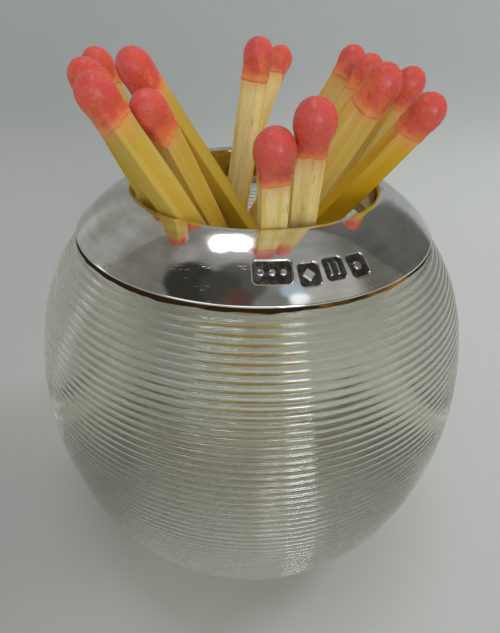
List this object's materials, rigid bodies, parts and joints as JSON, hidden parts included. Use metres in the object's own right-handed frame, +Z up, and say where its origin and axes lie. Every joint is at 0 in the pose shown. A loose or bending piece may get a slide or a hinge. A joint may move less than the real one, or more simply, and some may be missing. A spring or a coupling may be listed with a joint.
{
  "type": "match striker",
  "caption": "Ribbed glass globe match striker with a domed silver collar, its well holding square wooden matches with pink heads.",
  "frame": {"origin": "centre of the flat foot, on the surface that the striker stands on", "axes": "+Z up through the middle of the well; the front, with the punched marks, faces -Y"},
  "size_m": [0.048, 0.048, 0.0548],
  "materials": {
    "glass": "clear pressed glass, very slightly grey green, satin on the ribs",
    "silver": "polished silver with fine wear scratches",
    "cement": "dark brown old cement, dull",
    "match_wood": "bare split aspen, pale straw, matte with fine grain",
    "match_head": "coral pink dipped match composition, slightly grainy with a soft sheen"
  },
  "bodies": {
    "root": {"glass_globe": "glass", "collar_cement": "cement", "silver_collar": "silver", "match_stick_01": "match_wood", "match_stick_02": "match_wood", "match_stick_03": "match_wood", "match_stick_04": "match_wood", "match_stick_05": "match_wood", "match_stick_06": "match_wood", "match_stick_07": "match_wood", "match_stick_08": "match_wood", "match_stick_09": "match_wood", "match_stick_10": "match_wood", "match_stick_11": "match_wood", "match_stick_12": "match_wood", "match_stick_13": "match_wood", "match_stick_14": "match_wood", "match_head_01": "match_head", "match_head_02": "match_head", "match_head_03": "match_head", "match_head_04": "match_head", "match_head_05": "match_head", "match_head_06": "match_head", "match_head_07": "match_head", "match_head_08": "match_head", "match_head_09": "match_head", "match_head_10": "match_head", "match_head_11": "match_head", "match_head_12": "match_head", "match_head_13": "match_head", "match_head_14": "match_head"}
  },
  "joints": []
}
